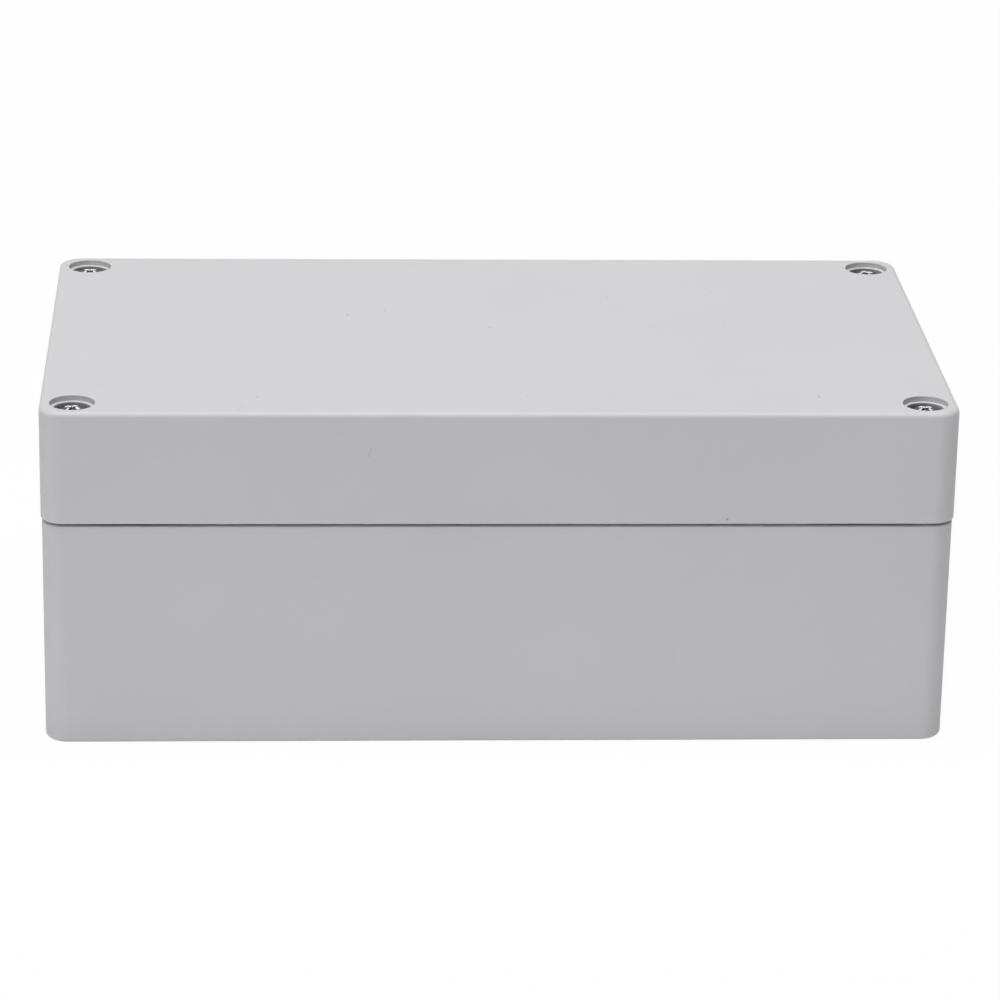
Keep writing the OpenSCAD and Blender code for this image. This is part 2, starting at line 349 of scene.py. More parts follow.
class ShaderBoard:
    """A node tree with short ways to add nodes and join them."""

    def __init__(self, tree: bpy.types.NodeTree) -> None:
        """Work on a tree, from empty.

        Args:
            tree: The node tree to fill.
        """
        self.tree = tree
        tree.nodes.clear()

    def add(self, kind: str, values: dict[object, object] | None = None, **settings: object) -> bpy.types.Node:
        """Add a node.

        Args:
            kind: The node's type.
            values: Plain values of its inputs, by name or number.
            settings: The node's own settings.

        Returns:
            The new node.
        """
        node = self.tree.nodes.new(kind)
        for key, value in settings.items():
            setattr(node, key, value)
        for key, value in (values or {}).items():
            node.inputs[key].default_value = value
        return node

    def link(self, source: bpy.types.NodeSocket, target: bpy.types.NodeSocket) -> None:
        """Join an output to an input."""
        self.tree.links.new(source, target)

    def math(self, operation: str, first: object, second: object = None) -> bpy.types.NodeSocket:
        """Add a math node whose operands are sockets or numbers.

        Args:
            operation: The node's operation.
            first: First operand.
            second: Second operand, if the operation has one.

        Returns:
            The result's socket.
        """
        node = self.add("ShaderNodeMath", operation=operation)
        for place, operand in enumerate((first, second)):
            if isinstance(operand, bpy.types.NodeSocket):
                self.link(operand, node.inputs[place])
            elif operand is not None:
                node.inputs[place].default_value = operand
        return node.outputs[0]

    def blend(self, factor: object, first: object, second: object) -> bpy.types.NodeSocket:
        """Mix two colours.

        Args:
            factor: Share of the second colour, as a socket or a number.
            first: Colour or socket at a factor of 0.
            second: Colour or socket at a factor of 1.

        Returns:
            The mixed colour's socket.
        """
        node = self.add("ShaderNodeMix", data_type="RGBA")
        named = {"Factor_Float": factor, "A_Color": first, "B_Color": second}
        for socket in node.inputs:
            value = named.get(socket.identifier)
            if isinstance(value, bpy.types.NodeSocket):
                self.link(value, socket)
            elif value is not None:
                socket.default_value = value
        return next(out for out in node.outputs if out.identifier == "Result_Color")

    def ramp(self, source: bpy.types.NodeSocket, span: Span, result: Span = (0.0, 1.0)) -> bpy.types.NodeSocket:
        """Map one range of a value onto another, clamped.

        Args:
            source: The value's socket.
            span: Start and end of its range.
            result: What the start and the end become.

        Returns:
            The result's socket.
        """
        node = self.add("ShaderNodeMapRange", {1: span[0], 2: span[1], 3: result[0], 4: result[1]}, clamp=True)
        self.link(source, node.inputs[0])
        return node.outputs[0]

    def direct_sight(self) -> bpy.types.NodeSocket:
        """Tell the rays that show how a surface looks from those that carry its light.

        Returns:
            Socket that is 1 for camera, glossy and transmission rays.
        """
        path = self.add("ShaderNodeLightPath")
        seen = self.math("MAXIMUM", path.outputs["Is Camera Ray"], path.outputs["Is Glossy Ray"])
        return self.math("MAXIMUM", seen, path.outputs["Is Transmission Ray"])


class EffectGroup:
    """A shader node group that several finishes use."""

    name = "effect"
    inputs: dict[str, float] = {}
    outputs: tuple[str, ...] = ()

    def tree(self) -> bpy.types.NodeTree:
        """Give the group's tree, built the first time that it is asked for.

        Returns:
            The group's tree.
        """
        known = bpy.data.node_groups.get(self.name)
        if known:
            return known
        tree = bpy.data.node_groups.new(self.name, "ShaderNodeTree")
        tree.interface.new_socket("Vector", in_out="INPUT", socket_type="NodeSocketVector")
        for label, value in self.inputs.items():
            socket = tree.interface.new_socket(label, in_out="INPUT", socket_type="NodeSocketFloat")
            socket.default_value = value
        for label in self.outputs:
            tree.interface.new_socket(label, in_out="OUTPUT", socket_type="NodeSocketFloat")
        board = ShaderBoard(tree)
        entry = board.add("NodeGroupInput")
        leave = board.add("NodeGroupOutput")
        self.fill(board, entry, leave)
        return tree

    def fill(self, board: ShaderBoard, entry: bpy.types.Node, leave: bpy.types.Node) -> None:
        """Add the effect's nodes between the group's entry and its exit."""
        raise NotImplementedError

    def place(self, board: ShaderBoard, vector: bpy.types.NodeSocket, **values: float) -> bpy.types.Node:
        """Put the group into a material.

        Args:
            board: The material's board.
            vector: Socket that gives the place on the piece.
            values: The group's inputs by name, with _ for a space.

        Returns:
            The group's node.
        """
        node = board.add("ShaderNodeGroup")
        node.node_tree = self.tree()
        board.link(vector, node.inputs["Vector"])
        for key, value in values.items():
            node.inputs[key.replace("_", " ").capitalize()].default_value = value
        return node


class MouldGrain(EffectGroup):
    """The fine grain that a mould's surface leaves, and the plastic's cloudy tone."""

    name = "mould_grain"
    inputs = {"Grain scale": 5000.0, "Cloud scale": 40.0}
    outputs = ("Height", "Cloud")
    coarse_ratio = 0.31
    coarse_share = 0.8

    def fill(self, board: ShaderBoard, entry: bpy.types.Node, leave: bpy.types.Node) -> None:
        """Mix two sizes of noise into the height, and use a slow noise as the cloud.

        Args:
            board: The group's board.
            entry: Node that holds the group's inputs.
            leave: Node that takes its outputs.
        """
        fine = board.add("ShaderNodeTexNoise", {"Detail": 2.0, "Roughness": 0.6})
        coarse = board.add("ShaderNodeTexNoise", {"Detail": 1.0, "Roughness": 0.5})
        cloud = board.add("ShaderNodeTexNoise", {"Detail": 3.0, "Roughness": 0.55})
        for node in (fine, coarse, cloud):
            board.link(entry.outputs["Vector"], node.inputs["Vector"])
        board.link(entry.outputs["Grain scale"], fine.inputs["Scale"])
        board.link(board.math("MULTIPLY", entry.outputs["Grain scale"], self.coarse_ratio), coarse.inputs["Scale"])
        board.link(entry.outputs["Cloud scale"], cloud.inputs["Scale"])
        height = board.math("ADD", fine.outputs[0], board.math("MULTIPLY", coarse.outputs[0], self.coarse_share))
        board.link(height, leave.inputs["Height"])
        board.link(cloud.outputs[0], leave.inputs["Cloud"])


class DustSpecks(EffectGroup):
    """Sparse round specks of dust, each in a cell of its own."""

    name = "dust_specks"
    inputs = {"Cell scale": 150.0, "Speck size": 0.04, "Share": 0.1}
    outputs = ("Mask",)
    smallest = 0.4
    strengths = (0.40, 1.0)

    def fill(self, board: ShaderBoard, entry: bpy.types.Node, leave: bpy.types.Node) -> None:
        """Keep the middle of a few random cells, at sizes and strengths that differ.

        Args:
            board: The group's board.
            entry: Node that holds the group's inputs.
            leave: Node that takes its outputs.
        """
        cells = board.add("ShaderNodeTexVoronoi", {"Randomness": 1.0}, feature="F1")
        board.link(entry.outputs["Vector"], cells.inputs["Vector"])
        board.link(entry.outputs["Cell scale"], cells.inputs["Scale"])
        split = board.add("ShaderNodeSeparateColor")
        board.link(cells.outputs["Color"], split.inputs[0])
        chosen = board.math("LESS_THAN", split.outputs[0], entry.outputs["Share"])
        size = board.math("MULTIPLY", entry.outputs["Speck size"], board.math("ADD", split.outputs[1], self.smallest))
        near = board.math("LESS_THAN", cells.outputs["Distance"], size)
        squared = board.math("POWER", split.outputs[2], 2.0)
        strength = board.ramp(squared, (0.0, 1.0), self.strengths)
        board.link(board.math("MULTIPLY", board.math("MULTIPLY", chosen, near), strength), leave.inputs["Mask"])


class Hairlines(EffectGroup):
    """A few short curved hairline scuffs, thin as a lint fibre."""

    name = "hairlines"
    inputs = {"Line scale": 60.0, "Line width": 0.0013, "Share": 0.725}
    outputs = ("Mask",)
    contour = 0.5
    patch_ratio = 3.1
    patch_shift = (3.1, 7.7, 1.9)

    def fill(self, board: ShaderBoard, entry: bpy.types.Node, leave: bpy.types.Node) -> None:
        """Draw the contour of a slow noise, kept only where a second noise is high.

        Args:
            board: The group's board.
            entry: Node that holds the group's inputs.
            leave: Node that takes its outputs.
        """
        path = board.add("ShaderNodeTexNoise", {"Detail": 0.0, "Roughness": 0.5})
        patch = board.add("ShaderNodeTexNoise", {"Detail": 0.0, "Roughness": 0.5})
        shift = board.add("ShaderNodeVectorMath", {1: self.patch_shift}, operation="ADD")
        board.link(entry.outputs["Vector"], shift.inputs[0])
        board.link(entry.outputs["Vector"], path.inputs["Vector"])
        board.link(shift.outputs[0], patch.inputs["Vector"])
        board.link(entry.outputs["Line scale"], path.inputs["Scale"])
        board.link(board.math("MULTIPLY", entry.outputs["Line scale"], self.patch_ratio), patch.inputs["Scale"])
        off_line = board.math("ABSOLUTE", board.math("SUBTRACT", path.outputs[0], self.contour))
        thin = board.math("LESS_THAN", off_line, entry.outputs["Line width"])
        here = board.math("GREATER_THAN", patch.outputs[0], entry.outputs["Share"])
        board.link(board.math("MULTIPLY", thin, here), leave.inputs["Mask"])


# --- Finishes -----------------------------------------------------------------


class Finish:
    """A named finish that makes one material."""

    name = "finish"

    def start(self) -> tuple[bpy.types.Material, ShaderBoard, bpy.types.Node, bpy.types.NodeSocket]:
        """Begin the material.

        Returns:
            The material, its board, its main shader, and the socket of the place
            on the piece.
        """
        material = bpy.data.materials.new(self.name)
        material.use_nodes = True
        board = ShaderBoard(material.node_tree)
        shader = board.add("ShaderNodeBsdfPrincipled")
        output = board.add("ShaderNodeOutputMaterial")
        board.link(shader.outputs[0], output.inputs["Surface"])
        place = board.add("ShaderNodeTexCoord").outputs["Object"]
        return material, board, shader, place

    def material(self) -> bpy.types.Material:
        """Give the finish's material, made the first time that it is asked for."""
        return bpy.data.materials.get(self.name) or self.make()

    def make(self) -> bpy.types.Material:
        """Make the material."""
        raise NotImplementedError

    @staticmethod
    def texture(
        board: ShaderBoard,
        shader: bpy.types.Node,
        grain: bpy.types.Node,
        gloss: Span,
        strength: float,
        depth: float,
    ) -> None:
        """Let the cloud vary the gloss, and the grain raise the surface.

        Args:
            board: The material's board.
            shader: Its main shader.
            grain: Its grain group.
            gloss: Roughness where the cloud is thin and where it is dense.
            strength: Strength of the bump.
            depth: Depth of the grain.
        """
        board.link(board.ramp(grain.outputs["Cloud"], CLOUD_SPAN, gloss), shader.inputs["Roughness"])
        bump = board.add("ShaderNodeBump", {"Strength": strength, "Distance": depth})
        board.link(grain.outputs["Height"], bump.inputs["Height"])
        board.link(bump.outputs[0], shader.inputs["Normal"])

    def dress(self, piece: bpy.types.Object) -> None:
        """Give a piece this finish alone."""
        piece.data.materials.clear()
        piece.data.materials.append(self.material())


@dataclass(frozen=True)
class ShellPlastic(Finish):
    """Light grey moulded plastic with a satin grain, a little dust and faint scuffs."""

    name: str = "light_grey_moulded_plastic"
    tone: Colour = (0.558, 0.558, 0.577, 1.0)
    pale_tone: Colour = (0.583, 0.583, 0.600, 1.0)
    dust: Colour = (0.20, 0.20, 0.21, 1.0)
    scuff: Colour = (0.36, 0.36, 0.37, 1.0)
    dust_strength: float = 0.70
    scuff_strength: float = 0.35
    gloss: Span = (0.50, 0.60)
    refraction: float = 1.5
    grain_strength: float = 0.5
    grain_depth: float = 0.012 * MM

    def make(self) -> bpy.types.Material:
        """Make the plastic: cloudy tone, specks, scuffs, uneven gloss and fine grain.

        Returns:
            The plastic.
        """
        material, board, shader, place = self.start()
        grain = MouldGrain().place(board, place, grain_scale=4200.0, cloud_scale=28.0)
        specks = DustSpecks().place(board, place, cell_scale=310.0, speck_size=0.060, share=0.20)
        scuffs = Hairlines().place(board, place)
        colour = board.blend(board.ramp(grain.outputs["Cloud"], CLOUD_SPAN), self.tone, self.pale_tone)
        scuffed = board.math("MULTIPLY", scuffs.outputs["Mask"], self.scuff_strength)
        dusty = board.math("MULTIPLY", specks.outputs["Mask"], self.dust_strength)
        colour = board.blend(dusty, board.blend(scuffed, colour, self.scuff), self.dust)
        board.link(colour, shader.inputs["Base Color"])
        shader.inputs["IOR"].default_value = self.refraction
        self.texture(board, shader, grain, self.gloss, self.grain_strength, self.grain_depth)
        return material


@dataclass(frozen=True)
class ScrewSteel(Finish):
    """Plain screw steel with dull patches, a fine grain and uneven gloss. Its default tone, far darker than bare
    steel, is painted dark reflection.
    """

    name: str = "screw_steel"
    # Near-black tone: painted dark reflection, not the steel's own colour.
    tone: Colour = (0.090, 0.090, 0.094, 1.0)
    dull_tone: Colour = (0.022, 0.022, 0.024, 1.0)
    gloss: Span = (0.16, 0.34)
    dull_span: Span = (0.42, 0.66)
    grain_strength: float = 0.3
    grain_depth: float = 0.004 * MM

    def make(self) -> bpy.types.Material:
        """Make the steel: metal with uneven gloss, dull patches and a fine grain.

        Returns:
            The steel.
        """
        material, board, shader, place = self.start()
        grain = MouldGrain().place(board, place, grain_scale=9000.0, cloud_scale=1100.0)
        dull = board.ramp(grain.outputs["Cloud"], self.dull_span)
        board.link(board.blend(dull, self.tone, self.dull_tone), shader.inputs["Base Color"])
        shader.inputs["Metallic"].default_value = 1.0
        self.texture(board, shader, grain, self.gloss, self.grain_strength, self.grain_depth)
        return material


class ScrewZone(Enum):
    """The zones of a screw, each with its own copy of the steel: a body whose very dark tone is painted dark
    reflection, bright edges that are painted glints, and a recess whose near-black patches are painted shade.
    """

    # Dark body steel: its tone is painted dark reflection.
    BODY = 0
    # Bright edge steel: painted glints.
    EDGE = 1
    # Darker recess steel: painted shade.
    PAINTED_SHADE_RECESS = 2


SCREW_STEELS: dict[ScrewZone, ScrewSteel] = {
    # The body's dark tone is painted dark reflection.
    ScrewZone.BODY: ScrewSteel(),
    # Painted glints: a near-white copy of the steel for the recess's broken edges and the bevels.
    ScrewZone.EDGE: ScrewSteel(
        "screw_steel_painted_glint_edge", (0.93, 0.93, 0.94, 1.0), (0.75, 0.75, 0.76, 1.0), gloss=(0.10, 0.22)
    ),
    # Painted shade: a copy of the steel with near-black dull patches, for the recess walls.
    ScrewZone.PAINTED_SHADE_RECESS: ScrewSteel(
        "screw_steel_painted_recess_shade", (0.10, 0.10, 0.10, 1.0), (0.006, 0.006, 0.006, 1.0), gloss=(0.14, 0.36)
    ),
}


@dataclass(frozen=True)
class TurnedBrass(Finish):
    """Bare turned brass, a little tarnished in patches."""

    name: str = "turned_brass"
    tone: Colour = (0.74, 0.55, 0.25, 1.0)
    tarnish: Colour = (0.42, 0.29, 0.13, 1.0)
    gloss: Span = (0.22, 0.42)
    tarnish_span: Span = (0.5, 0.8)
    most_tarnish: float = 0.8
    grain_strength: float = 0.3
    grain_depth: float = 0.004 * MM

    def make(self) -> bpy.types.Material:
        """Make the brass: metal with tarnish patches and uneven gloss.

        Returns:
            The brass.
        """
        material, board, shader, place = self.start()
        grain = MouldGrain().place(board, place, grain_scale=7000.0, cloud_scale=700.0)
        dull = board.ramp(grain.outputs["Cloud"], self.tarnish_span, (0.0, self.most_tarnish))
        board.link(board.blend(dull, self.tone, self.tarnish), shader.inputs["Base Color"])
        shader.inputs["Metallic"].default_value = 1.0
        self.texture(board, shader, grain, self.gloss, self.grain_strength, self.grain_depth)
        return material


@dataclass(frozen=True)
class NaturalNylon(Finish):
    """Milky nylon with a soft surface."""

    name: str = "natural_nylon"
    tone: Colour = (0.80, 0.78, 0.71, 1.0)
    pale_tone: Colour = (0.86, 0.85, 0.80, 1.0)
    gloss: Span = (0.38, 0.52)
    grain_strength: float = 0.4
    grain_depth: float = 0.01 * MM

    def make(self) -> bpy.types.Material:
        """Make the nylon: a cloudy pale tone, uneven gloss and a faint grain.

        Returns:
            The nylon.
        """
        material, board, shader, place = self.start()
        grain = MouldGrain().place(board, place, grain_scale=5000.0, cloud_scale=500.0)
        board.link(board.blend(grain.outputs["Cloud"], self.tone, self.pale_tone), shader.inputs["Base Color"])
        self.texture(board, shader, grain, self.gloss, self.grain_strength, self.grain_depth)
        return material


@dataclass(frozen=True)
class SealRubber(Finish):
    """Soft black rubber, matt, with a powdery bloom."""

    name: str = "seal_rubber"
    tone: Colour = (0.018, 0.018, 0.019, 1.0)
    bloom: Colour = (0.060, 0.060, 0.062, 1.0)
    gloss: Span = (0.62, 0.80)
    bloom_span: Span = (0.4, 0.8)
    grain_strength: float = 0.5
    grain_depth: float = 0.03 * MM

    def make(self) -> bpy.types.Material:
        """Make the rubber: black with a paler bloom, and a coarse soft grain.

        Returns:
            The rubber.
        """
        material, board, shader, place = self.start()
        grain = MouldGrain().place(board, place, grain_scale=2600.0, cloud_scale=260.0)
        powdery = board.ramp(grain.outputs["Cloud"], self.bloom_span)
        board.link(board.blend(powdery, self.tone, self.bloom), shader.inputs["Base Color"])
        self.texture(board, shader, grain, self.gloss, self.grain_strength, self.grain_depth)
        return material


# --- The box ------------------------------------------------------------------


def node_axis(node: str) -> Vector:
    """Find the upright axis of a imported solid.

    Args:
        node: The solid's node.

    Returns:
        The middle of the solid, at a height of 0.
    """
    low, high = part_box(node)
    return Vector(((low[0] + high[0]) / 2, (low[1] + high[1]) / 2, 0.0))


@dataclass
class ShellMoulding:
    """One of the two mouldings, with its sharp edges softened as a mould leaves them.

    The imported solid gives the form; the dressed piece is a merged copy of it.
    """

    node: str
    body: str
    edge_softening: float = 0.12 * MM
    edge_steps: int = 2
    sharpest: float = 40.0
    shading_angle: float = 35.0
    normal_weight: int = 80
    finish: Finish = field(default_factory=ShellPlastic)

    def build(self, cad: bpy.types.Object) -> bpy.types.Object:
        """Make the piece from its solid.

        Args:
            cad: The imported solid.

        Returns:
            The dressed moulding.
        """
        piece = Bench.merged_twin(cad, f"{self.node}_moulding")
        Bench.soften(piece, self.edge_softening, self.edge_steps, self.sharpest)
        Bench.smooth(piece, self.shading_angle)
        Bench.modify(piece, "WEIGHTED_NORMAL", weight=self.normal_weight, keep_sharp=True)
        self.finish.dress(piece)
        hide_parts(self.node)
        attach(piece, self.body)
        return piece


@dataclass
class ThreadForm:
    """A helical thread round the Z axis."""

    crest: float
    root: float
    pitch: float = 0.5 * MM
    steps: int = 24
    spare_turns: int = 2

    def build(self, name: str, bottom: float, top: float) -> bpy.types.Object:
        """Make a closed threaded bar between two heights.

        Args:
            name: Name of the new object.
            bottom: Z of its lower end.
            top: Z of its upper end.

        Returns:
            The threaded bar.
        """
        flat = self.pitch / 8
        flank = (self.pitch - 2 * flat) / 2
        start = bottom - self.spare_turns * self.pitch
        ridge = [
            (self.root, start),
            (self.root, start + flat),
            (self.crest, start + flat + flank),
            (self.crest, start + 2 * flat + flank),
            (self.root, start + self.pitch),
        ]
        piece = Bench.outline(name, ridge)
        turns = math.ceil((top - bottom) / self.pitch) + 2 * self.spare_turns
        Bench.modify(
            piece,
            "SCREW",
            axis="Z",
            angle=math.tau,
            screw_offset=self.pitch,
            iterations=turns,
            steps=self.steps,
            render_steps=self.steps,
            use_normal_calculate=True,
            use_merge_vertices=True,
            merge_threshold=WELD,
        )
        Bench.open(piece)
        Bench.seal()
        Bench.trim(piece, bottom, keep_above=True)
        Bench.trim(piece, top, keep_above=False)
        return piece


@dataclass
class LidScrew:
    """Pan head screw with a cross recess and a rolled thread, one at each corner."""

    head_radius: float = 3.0 * MM
    head_height: float = 2.4 * MM
    crown_radius: float = 7.0 * MM
    shank_radius: float = 1.45 * MM
    thread_depth: float = 0.27 * MM
    tip_chamfer: float = 0.4 * MM
    cross_width: float = 2.7 * MM
    cross_wing: float = 0.62 * MM
    cross_depth: float = 1.5 * MM
    wing_taper: tuple[float, float] = (0.34, 0.72)
    core_tip_radius: float = 0.28 * MM
    core_mouth_radius: float = 0.74 * MM
    core_drop: float = 0.06 * MM
    core_facets: int = 16
    cutter_rise: float = 0.5 * MM
    lip_width: float = 0.15 * MM
    lip_depth: float = 0.22 * MM
    lip_depth_ratio: float = 1.07
    edge_softening: float = 0.05 * MM
    edge_steps: int = 2
    shading_angle: float = 32.0
    facets: int = 56
    crown_steps: int = 8
    head_overlap: float = 0.2 * MM
    sleeve_width: float = 1.0 * MM

    def steels(self) -> list[bpy.types.Material]:
        """Give the steel of each zone, in slot order: the body (painted dark reflection), the edges (painted glints)
        and the recess (painted shade).
        """
        return [SCREW_STEELS[zone].material() for zone in ScrewZone]

    def head(self, seat: float) -> bpy.types.Object:
        """Make the crowned head with its cross recess.

        Args:
            seat: Z of the face under the head.

        Returns:
            The head.
        """
        top = seat + self.head_height
        middle = top - self.crown_radius
        rim_angle = math.asin(self.head_radius / self.crown_radius)
        crown = [rim_angle * step / self.crown_steps for step in range(self.crown_steps, -1, -1)]
        line = [
            (0.0, seat),
            (self.head_radius - self.edge_softening, seat),
            (self.head_radius, seat + self.edge_softening),
        ]
        line += [(self.crown_radius * math.sin(a), middle + self.crown_radius * math.cos(a)) for a in crown]
        head = Bench.outline("screw_head", line)
        Bench.revolve(head, self.facets)
        # The head takes the dark body steel, whose tone is painted dark reflection.
        Bench.coat(head, self.steels(), ScrewZone.BODY.value)
        cutter = self.cross_cutter(top)
        # The recess walls take the darker recess steel: painted shade.
        Bench.coat(cutter, self.steels(), ScrewZone.PAINTED_SHADE_RECESS.value)
        # The lip's faces take the bright edge steel: painted glints.
        lip = self.lip_cutter(top)
        Bench.coat(lip, self.steels(), ScrewZone.EDGE.value)
        Bench.cut(cutter, lip, "UNION")
        Bench.cut(head, cutter)
        # Every bevel on the head takes the bright edge steel too: painted glints.
        Bench.soften(head, self.edge_softening, self.edge_steps, self.shading_angle, material=ScrewZone.EDGE.value)
        return head

    def cross_cutter(self, top: float) -> bpy.types.Object:
        """Make the tool that cuts the cross recess: two wings and a cone that narrow downward.

        Args:
            top: Z of the head's crown.

        Returns:
            The closed cutter.
        """
        over, depth = self.cutter_rise, self.cross_depth
        wings = []
        for turn in (0.0, math.pi / 2):
            Bench.clear()
            bpy.ops.mesh.primitive_cube_add(
                size=1.0,
                location=(0.0, 0.0, top + (over - depth) / 2),
                scale=(self.cross_width, self.cross_wing, depth + over),
            )
            wing = bpy.context.object
            Bench.settle(wing)
            Bench.open(wing)
            Bench.pick(wing, lambda place: place.z < top - depth / 2)
            bpy.ops.transform.resize(value=(*self.wing_taper, 1.0), center_override=(0.0, 0.0, top))
            Bench.close()
            wing.data.transform(Matrix.Rotation(turn, 4, "Z"))
            wings.append(wing)
        Bench.clear()
        bpy.ops.mesh.primitive_cone_add(
            vertices=self.core_facets,
            radius1=self.core_tip_radius,
            radius2=self.core_mouth_radius,
            depth=depth + over,
            location=(0.0, 0.0, top + (over - depth) / 2 - self.core_drop),
        )
        core = bpy.context.object
        Bench.settle(core)
        Bench.cut(core, wings[0], "UNION")
        Bench.cut(core, wings[1], "UNION")
        return core

    def lip_cutter(self, top: float) -> bpy.types.Object:
        """Make the tool that breaks the upper edges of the cross recess.

        Each bar reaches as far above the crown as below it, and at the crown it
        is wider than the recess by the lip's width on each side. The two bars
        differ in depth, because a union is unsure where their faces share a
        plane.

        Args:
            top: Z of the head's crown.

        Returns:
            The closed cutter, a cross that widens upward.
        """
        wide = (self.cross_width + 4 * self.lip_width, self.cross_wing + 4 * self.lip_width)
        narrow = (self.cross_width / wide[0], self.cross_wing / wide[1], 1.0)
        bars = []
        for turn, depth in ((0.0, self.lip_depth), (math.pi / 2, self.lip_depth_ratio * self.lip_depth)):
            Bench.clear()
            bpy.ops.mesh.primitive_cube_add(size=1.0, location=(0.0, 0.0, top), scale=(*wide, 2 * depth))
            bar = bpy.context.object
            Bench.settle(bar)
            Bench.open(bar)
            Bench.pick(bar, lambda place: place.z < top)
            bpy.ops.transform.resize(value=narrow, center_override=(0.0, 0.0, top))
            Bench.close()
            bar.data.transform(Matrix.Rotation(turn, 4, "Z"))
            bars.append(bar)
        Bench.cut(bars[0], bars[1], "UNION")
        return bars[0]

    def shank(self, tip: float, seat: float) -> bpy.types.Object:
        """Make the threaded shank with a chamfered end.

        Args:
            tip: Z of its lower end.
            seat: Z of the face under the head.

        Returns:
            The shank, which runs a little way into the head.
        """
        thread = ThreadForm(self.shank_radius, self.shank_radius - self.thread_depth)
        bar = thread.build("screw_shank", tip, seat + self.head_overlap)
        Bench.clear()
        reach = self.shank_radius + self.sleeve_width
        bpy.ops.mesh.primitive_cone_add(
            vertices=self.facets,
            radius1=self.shank_radius - self.tip_chamfer,
            radius2=self.shank_radius - self.tip_chamfer + reach,
            depth=reach,
            location=(0.0, 0.0, tip + reach / 2),
        )
        sleeve = bpy.context.object
        Bench.settle(sleeve)
        Bench.open(sleeve)
        Bench.pick(sleeve, lambda place: place.z > tip + reach / 2)
        bpy.ops.mesh.extrude_region_move(TRANSFORM_OT_translate={"value": (0.0, 0.0, seat - tip)})
        Bench.close()
        Bench.cut(bar, sleeve, "INTERSECT")
        Bench.coat(bar, self.steels(), ScrewZone.BODY.value)
        return bar

    def build(self, corner: Corner, turned: float, model: bpy.types.Object) -> bpy.types.Object:
        """Set one screw at its corner.

        Args:
            corner: The corner.
            turned: How far the cross is turned, in degrees.
            model: The screw made before, round the Z axis.

        Returns:
            The screw.
        """
        node = f"lid_screw_{corner.value}"
        place = Matrix.Translation(node_axis(node)) @ Matrix.Rotation(math.radians(turned), 4, "Z")
        screw = Bench.twin(model, f"{node}_threaded", place)
        Bench.smooth(screw, self.shading_angle)
        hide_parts(node)
        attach(screw, f"screw_{corner.value}")
        return screw

    def model(self) -> bpy.types.Object:
        """Make the screw that the four are copied from, round the Z axis.

        Returns:
            The model screw.
        """
        low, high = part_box(f"lid_screw_{Corner.FRONT_LEFT.value}")
        seat = high[2] - self.head_height
        return Bench.join([self.head(seat), self.shank(low[2], seat)], "screw_model")


@dataclass
class ThreadedInsert:
    """Knurled brass insert with a threaded bore, one in each pillar."""

    ridges: int = 26
    ridge_depth: float = 0.14 * MM
    waist_depth: float = 0.25 * MM
    waist: float = 1.2 * MM
    bore_radius: float = 1.5 * MM
    groove_depth: float = 0.14 * MM
    mouth_chamfer: float = 0.25 * MM
    ridge_share: float = 0.45
    first_ridge: float = 0.01
    cutter_reach: float = 0.5 * MM
    mouth_facets: int = 48
    shading_angle: float = 30.0
    finish: Finish = field(default_factory=TurnedBrass)

    def model(self) -> bpy.types.Object:
        """Make the insert that the four are copied from, round the Z axis.

        Returns:
            The model insert.
        """
        low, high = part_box(f"threaded_insert_{Corner.FRONT_LEFT.value}")
        radius = (high[0] - low[0]) / 2
        bottom, top = low[2], high[2]
        Bench.clear()
        bpy.ops.mesh.primitive_cylinder_add(
            vertices=4 * self.ridges, radius=radius, depth=top - bottom, location=(0.0, 0.0, (top + bottom) / 2)
        )
        piece = bpy.context.object
        piece.name = "insert_model"
        Bench.settle(piece)
        step = math.tau / self.ridges
        Bench.open(piece)
        Bench.pick(
            piece,
            lambda place: (math.atan2(place.x, place.y) + self.first_ridge) % step > self.ridge_share * step,
        )
        share = 1.0 - self.ridge_depth / radius
        bpy.ops.transform.resize(value=(share, share, 1.0), center_override=(0.0, 0.0, 0.0))
        Bench.close()
        Bench.cut(piece, self.bore(bottom, top))
        Bench.cut(piece, self.waist_ring(radius, (top + bottom) / 2))
        return piece

    def waist_ring(self, radius: float, middle: float) -> bpy.types.Object:
        """Make the ring that cuts the waist groove.

        Args:
            radius: The insert's radius.
            middle: Z of the groove's middle.

        Returns:
            The closed ring.
        """
        inner, outer = radius - self.waist_depth, radius + self.cutter_reach
        low, high = middle - self.waist / 2, middle + self.waist / 2
        ring = Bench.outline("waist_ring", [(inner, low), (outer, low), (outer, high), (inner, high), (inner, low)])
        Bench.revolve(ring, 4 * self.ridges)
        return ring

    def bore(self, bottom: float, top: float) -> bpy.types.Object:
        """Make the tool that cuts the threaded bore.

        Args:
            bottom: Z of the insert's lower end.
            top: Z of its upper end.

        Returns:
            The closed cutter.
        """
        thread = ThreadForm(self.bore_radius + self.groove_depth, self.bore_radius)
        tool = thread.build("bore_thread", bottom - self.mouth_chamfer, top + self.mouth_chamfer)
        Bench.clear()
        mouth = self.bore_radius + self.mouth_chamfer
        bpy.ops.mesh.primitive_cone_add(
            vertices=self.mouth_facets,
            radius1=self.bore_radius,
            radius2=mouth + self.mouth_chamfer,
            depth=2 * self.mouth_chamfer,
            location=(0.0, 0.0, top),
        )
        cone = bpy.context.object
        Bench.settle(cone)
        Bench.cut(tool, cone, "UNION")
        return tool

    def build(self, corner: Corner, model: bpy.types.Object) -> bpy.types.Object:
        """Set one insert in its pillar.

        Args:
            corner: The corner.
            model: The insert made before, round the Z axis.

        Returns:
            The insert.
        """
        node = f"threaded_insert_{corner.value}"
        insert = Bench.twin(model, f"{node}_knurled", Matrix.Translation(node_axis(node)))
        Bench.smooth(insert, self.shading_angle)
        self.finish.dress(insert)
        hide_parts(node)
        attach(insert, "base")
        return insert


